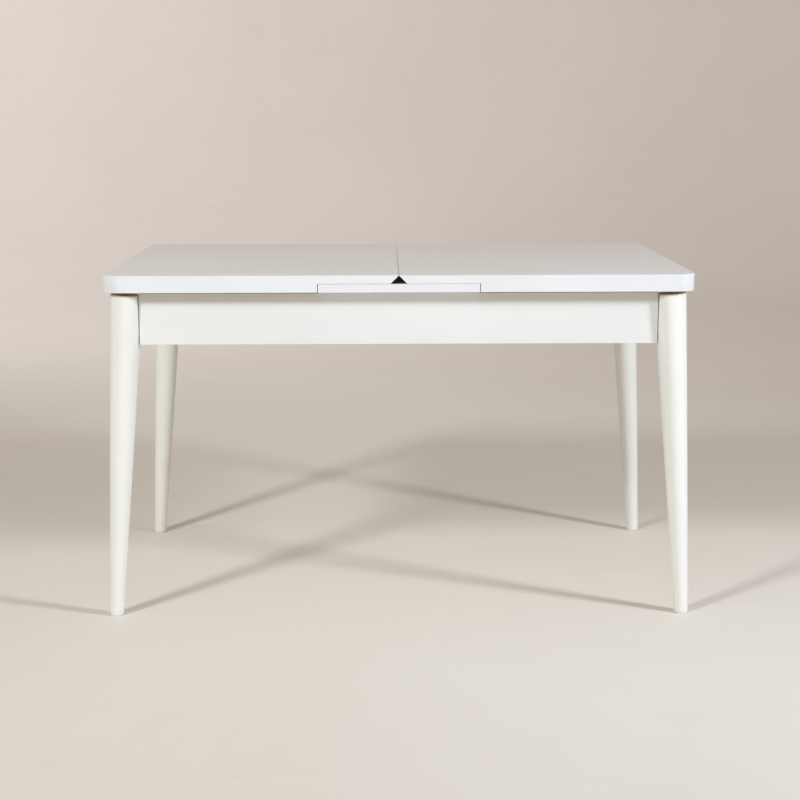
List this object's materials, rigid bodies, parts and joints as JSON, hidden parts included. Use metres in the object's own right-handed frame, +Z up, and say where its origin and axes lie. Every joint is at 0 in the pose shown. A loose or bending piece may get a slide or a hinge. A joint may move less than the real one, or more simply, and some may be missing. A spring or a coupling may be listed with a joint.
{
  "type": "extendable dining table",
  "caption": "Rectangular dining table on turned splayed legs; the top splits and slides open for a leaf stored beneath it.",
  "frame": {"origin": "on the floor, under the centre of the closed top", "axes": "+X along the table's length, -Y towards the front, +Z up"},
  "size_m": [1.2694, 0.8, 0.75],
  "materials": {
    "band": "white satin edge band",
    "core_board": "raw particle board",
    "lacquered_wood": "turned solid wood with satin ivory-white lacquer",
    "laminate": "matt off-white laminate on particle board",
    "raw_wood": "plain softwood and beech",
    "spring_steel": "oiled spring steel",
    "white_board": "white faced board, satin",
    "white_plastic": "moulded white plastic",
    "zinc_steel": "bright zinc plated steel"
  },
  "bodies": {
    "frame": {"front_apron": "white_board", "rear_apron": "white_board", "left_apron": "white_board", "right_apron": "white_board", "front_left_leg": "lacquered_wood", "front_right_leg": "lacquered_wood", "rear_left_leg": "lacquered_wood", "rear_right_leg": "lacquered_wood", "leg_glides": "white_plastic", "front_left_corner_block": "raw_wood", "front_right_corner_block": "raw_wood", "rear_left_corner_block": "raw_wood", "rear_right_corner_block": "raw_wood", "block_screws": "zinc_steel", "hanger_bolts": "zinc_steel", "hanger_washers": "zinc_steel", "hanger_nuts": "zinc_steel", "left_leaf_bearer": "raw_wood", "right_leaf_bearer": "raw_wood", "guide_bushes": "white_plastic", "lift_springs": "spring_steel", "left_front_slide_outer": "zinc_steel", "left_rear_slide_outer": "zinc_steel", "right_front_slide_outer": "zinc_steel", "right_rear_slide_outer": "zinc_steel", "slide_frame_screws": "zinc_steel"},
    "leaf": {"leaf_panel": "laminate", "leaf_edge_band": "band", "left_leaf_batten": "raw_wood", "right_leaf_batten": "raw_wood", "leaf_guide_rods": "raw_wood", "leaf_batten_screws": "zinc_steel"},
    "left_top": {"left_tabletop": "laminate", "left_edge_band": "band", "left_front_build_up": "core_board", "left_rear_build_up": "core_board", "left_end_build_up": "core_board", "left_front_runner": "raw_wood", "left_rear_runner": "raw_wood", "left_front_slide_inner": "zinc_steel", "left_rear_slide_inner": "zinc_steel", "left_runner_dowels": "raw_wood", "left_slide_screws": "zinc_steel"},
    "left_ball_cages": {"left_front_ball_cage": "zinc_steel", "left_rear_ball_cage": "zinc_steel", "left_front_slide_balls": "zinc_steel", "left_rear_slide_balls": "zinc_steel"},
    "right_top": {"right_tabletop": "laminate", "right_edge_band": "band", "right_front_build_up": "core_board", "right_rear_build_up": "core_board", "right_end_build_up": "core_board", "right_front_runner": "raw_wood", "right_rear_runner": "raw_wood", "right_front_slide_inner": "zinc_steel", "right_rear_slide_inner": "zinc_steel", "right_runner_dowels": "raw_wood", "right_slide_screws": "zinc_steel"},
    "right_ball_cages": {"right_front_ball_cage": "zinc_steel", "right_rear_ball_cage": "zinc_steel", "right_front_slide_balls": "zinc_steel", "right_rear_slide_balls": "zinc_steel"}
  },
  "joints": [
    {"name": "left_top_slide", "type": "slide", "parent": "frame", "child": "left_top", "axis": [-1, 0, 0], "range_m": [0, 0.17]},
    {"name": "right_top_slide", "type": "slide", "parent": "frame", "child": "right_top", "axis": [1, 0, 0], "range_m": [0, 0.17]},
    {"name": "left_cage_roll", "type": "slide", "parent": "frame", "child": "left_ball_cages", "axis": [-1, 0, 0], "range_m": [0, 0.085]},
    {"name": "right_cage_roll", "type": "slide", "parent": "frame", "child": "right_ball_cages", "axis": [1, 0, 0], "range_m": [0, 0.085]},
    {"name": "leaf_lift", "type": "slide", "parent": "frame", "child": "leaf", "axis": [0, 0, 1], "range_m": [-0.004, 0], "stiffness_N_per_m": 1100, "springref_m": 0.06, "deforming": ["lift_springs"]}
  ],
  "couplings": [
    {"joint": "left_cage_roll", "follows": "left_top_slide", "ratio": 0.5},
    {"joint": "right_cage_roll", "follows": "right_top_slide", "ratio": 0.5}
  ]
}
